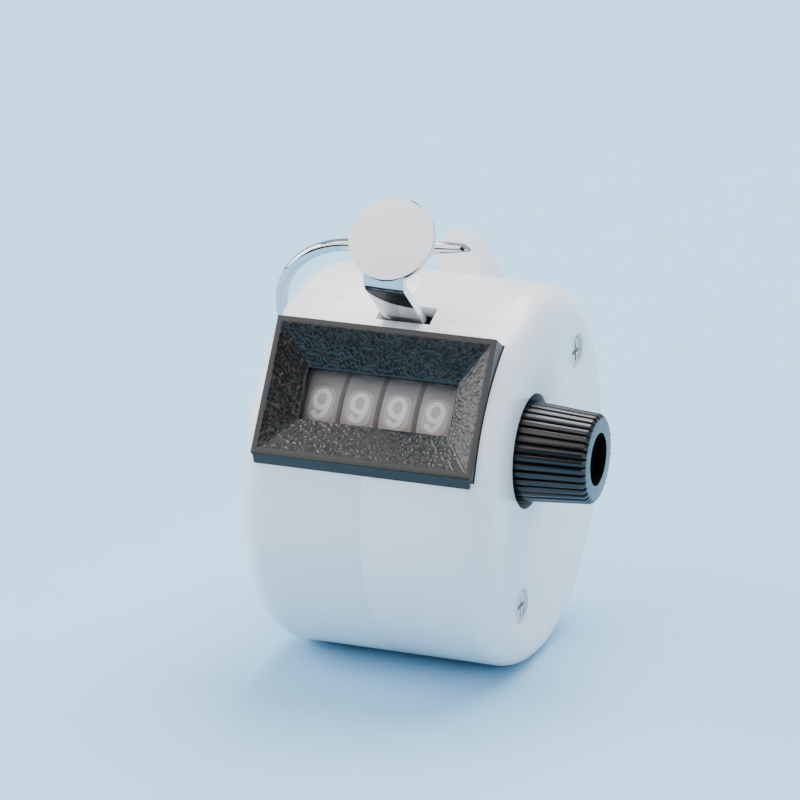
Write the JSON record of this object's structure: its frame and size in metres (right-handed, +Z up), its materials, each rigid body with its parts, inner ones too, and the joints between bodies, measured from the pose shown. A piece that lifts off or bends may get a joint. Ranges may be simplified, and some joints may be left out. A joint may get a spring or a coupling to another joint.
{
  "type": "hand tally counter",
  "caption": "Hand tally counter: round plastic drum, thumb lever, framed window over number wheels, fluted reset knob and a hinged wire finger ring.",
  "frame": {"origin": "centre of the small flat under the drum, on the surface that the counter rests on", "axes": "+X along the drum towards the reset knob, -Y towards the user and the window, +Z up past the thumb lever"},
  "size_m": [0.0452, 0.0483, 0.0546],
  "materials": {
    "white_abs": "glossy moulded white ABS",
    "black_abs": "moulded black ABS, grained on the window frame",
    "clear_acrylic": "clear polished acrylic",
    "wheel_plastic": "warm grey moulded plastic with white figures",
    "chrome_sheet": "bright chrome-plated steel sheet",
    "chrome_wire": "bright chrome-plated steel wire",
    "nickel_screw": "nickel-plated screw steel",
    "frame_steel": "zinc-plated steel",
    "spring_steel": "spring steel",
    "brass_sleeve": "turned brass"
  },
  "bodies": {
    "case": {"left_shell": "white_abs", "right_shell": "white_abs", "bezel": "black_abs", "window_lens": "clear_acrylic", "housing_screws": "nickel_screw", "left_frame_plate": "frame_steel", "right_frame_plate": "frame_steel", "frame_spacer_bars": "frame_steel", "detent_spring": "spring_steel", "lever_pivot_pin": "frame_steel", "lever_return_spring": "spring_steel", "left_spacer_sleeve": "brass_sleeve", "right_spacer_sleeve": "brass_sleeve"},
    "lever": {"thumb_lever": "chrome_sheet", "pawl_pin": "frame_steel", "pawl_spring": "spring_steel"},
    "pawl": {"drive_pawl": "frame_steel"},
    "reset": {"reset_shaft": "frame_steel", "reset_knob": "black_abs", "shaft_clip": "spring_steel"},
    "ring": {"finger_ring": "chrome_wire"},
    "thousands": {"thousands_wheel": "wheel_plastic"},
    "hundreds": {"hundreds_wheel": "wheel_plastic"},
    "tens": {"tens_wheel": "wheel_plastic"},
    "units": {"units_wheel": "wheel_plastic"}
  },
  "joints": [
    {"name": "lever_press", "type": "hinge", "parent": "case", "child": "lever", "pos_m": [0.0005, -0.00546, 0.03793], "axis": [-1, 0, 0], "range_deg": [0, 14], "stiffness_Nm_per_rad": 0.02, "springref_deg": -20.05},
    {"name": "pawl_click", "type": "hinge", "parent": "lever", "child": "pawl", "pos_m": [0.0005, 0.00199, 0.01215], "axis": [1, 0, 0], "range_deg": [0, 6], "stiffness_Nm_per_rad": 0.002, "springref_deg": -14.32},
    {"name": "knob_turn", "type": "hinge", "parent": "case", "child": "reset", "pos_m": [0, -0.00688, 0.02639], "axis": [1, 0, 0], "continuous": true},
    {"name": "ring_swing", "type": "hinge", "parent": "case", "child": "ring", "pos_m": [0.0005, 0.011, 0.04316], "axis": [0, 0.342, -0.9397], "range_deg": [0, 75]},
    {"name": "thousands_turn", "type": "hinge", "parent": "case", "child": "thousands", "pos_m": [0, -0.00688, 0.02639], "axis": [1, 0, 0], "continuous": true},
    {"name": "hundreds_turn", "type": "hinge", "parent": "case", "child": "hundreds", "pos_m": [0, -0.00688, 0.02639], "axis": [1, 0, 0], "continuous": true},
    {"name": "tens_turn", "type": "hinge", "parent": "case", "child": "tens", "pos_m": [0, -0.00688, 0.02639], "axis": [1, 0, 0], "continuous": true},
    {"name": "units_turn", "type": "hinge", "parent": "case", "child": "units", "pos_m": [0, -0.00688, 0.02639], "axis": [1, 0, 0], "continuous": true}
  ]
}
